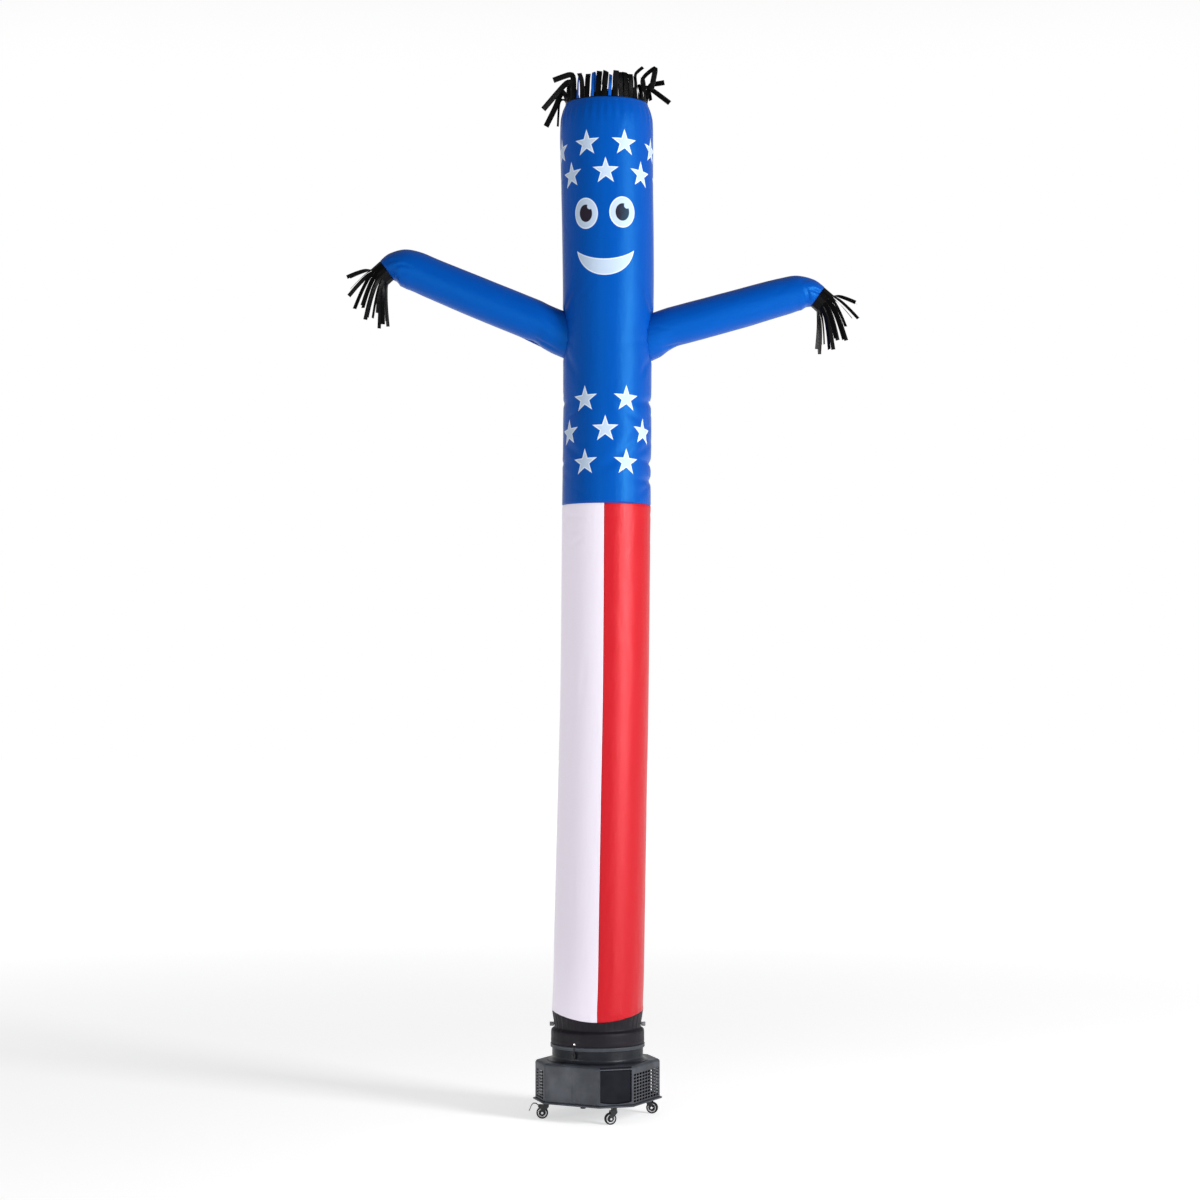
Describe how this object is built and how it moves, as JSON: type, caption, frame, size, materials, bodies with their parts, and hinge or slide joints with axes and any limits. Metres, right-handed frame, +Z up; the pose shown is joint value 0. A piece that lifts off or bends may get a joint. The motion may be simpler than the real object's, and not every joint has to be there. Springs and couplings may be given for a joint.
{
  "type": "inflatable air dancer with blower",
  "caption": "Tall inflated cloth tube figure with raised sleeve arms, fringed hands and hair, standing on a low plastic blower box that rolls on swivel casters.",
  "frame": {"origin": "on the ground under the middle of the blower", "axes": "+Z up; the figure faces -Y, and +X is to the right of someone facing it"},
  "size_m": [2.7869, 0.6774, 5.4544],
  "materials": {
    "blue_cloth": "satin woven nylon",
    "white_cloth": "satin woven nylon",
    "red_cloth": "satin woven nylon",
    "black_cloth": "matt woven nylon",
    "black_strip": "satin woven nylon",
    "black_cord": "braided",
    "grey_plastic": "fine moulded grain",
    "light_plastic": "fine moulded grain",
    "black_plastic": "satin",
    "black_metal": "satin powder coat",
    "steel": "zinc plated",
    "tyre_rubber": "matt"
  },
  "bodies": {
    "root": {"body_blue": "blue_cloth", "arm_left": "blue_cloth", "arm_right": "blue_cloth", "panel_white": "white_cloth", "panel_red": "red_cloth", "skirt_black": "black_cloth", "hair": "black_strip", "tassel_left": "black_strip", "tassel_right": "black_strip", "drawcord": "black_cord", "cord_tail": "black_cord", "cord_lock": "black_plastic", "eyelet": "steel", "housing": "grey_plastic", "outlet": "grey_plastic", "base_plate": "grey_plastic", "grille_left": "light_plastic", "grille_right": "light_plastic", "grille_front_left": "light_plastic", "grille_back_right": "light_plastic", "knob_left": "light_plastic", "knob_right": "light_plastic", "foot": "black_plastic"},
    "swivel_left": {"fork_left": "black_metal", "axle_left": "steel"},
    "wheel_left": {"tyre_left": "tyre_rubber", "hub_left": "light_plastic"},
    "swivel_front": {"fork_front": "black_metal", "axle_front": "steel"},
    "wheel_front": {"tyre_front": "tyre_rubber", "hub_front": "light_plastic"},
    "swivel_right": {"fork_right": "black_metal", "axle_right": "steel"},
    "wheel_right": {"tyre_right": "tyre_rubber", "hub_right": "light_plastic"},
    "swivel_back": {"fork_back": "black_metal", "axle_back": "steel"},
    "wheel_back": {"tyre_back": "tyre_rubber", "hub_back": "light_plastic"},
    "pedal": {"brake_pedal": "black_metal"}
  },
  "joints": [
    {"name": "left_swivel", "type": "hinge", "parent": "root", "child": "swivel_left", "pos_m": [-0.26704, -0.0842, 0.08], "axis": [0, 0, 1], "continuous": true},
    {"name": "left_roll", "type": "hinge", "parent": "swivel_left", "child": "wheel_left", "pos_m": [-0.28704, -0.0842, 0.03062], "axis": [0, -1, 0], "continuous": true},
    {"name": "front_swivel", "type": "hinge", "parent": "root", "child": "swivel_front", "pos_m": [0.0842, -0.26704, 0.08], "axis": [0, 0, 1], "continuous": true},
    {"name": "front_roll", "type": "hinge", "parent": "swivel_front", "child": "wheel_front", "pos_m": [0.06518, -0.27322, 0.03062], "axis": [0.309, -0.9511, 0], "continuous": true},
    {"name": "right_swivel", "type": "hinge", "parent": "root", "child": "swivel_right", "pos_m": [0.26704, 0.0842, 0.08], "axis": [0, 0, 1], "continuous": true},
    {"name": "right_roll", "type": "hinge", "parent": "swivel_right", "child": "wheel_right", "pos_m": [0.28606, 0.07802, 0.03062], "axis": [0.309, 0.9511, 0], "continuous": true},
    {"name": "back_swivel", "type": "hinge", "parent": "root", "child": "swivel_back", "pos_m": [-0.0842, 0.26704, 0.08], "axis": [0, 0, 1], "continuous": true},
    {"name": "back_roll", "type": "hinge", "parent": "swivel_back", "child": "wheel_back", "pos_m": [-0.07273, 0.28342, 0.03062], "axis": [-0.8192, 0.5736, 0], "continuous": true},
    {"name": "brake", "type": "hinge", "parent": "swivel_left", "child": "pedal", "pos_m": [-0.30304, -0.0842, 0.066], "axis": [0, 1, 0], "range_deg": [0, 12]}
  ]
}
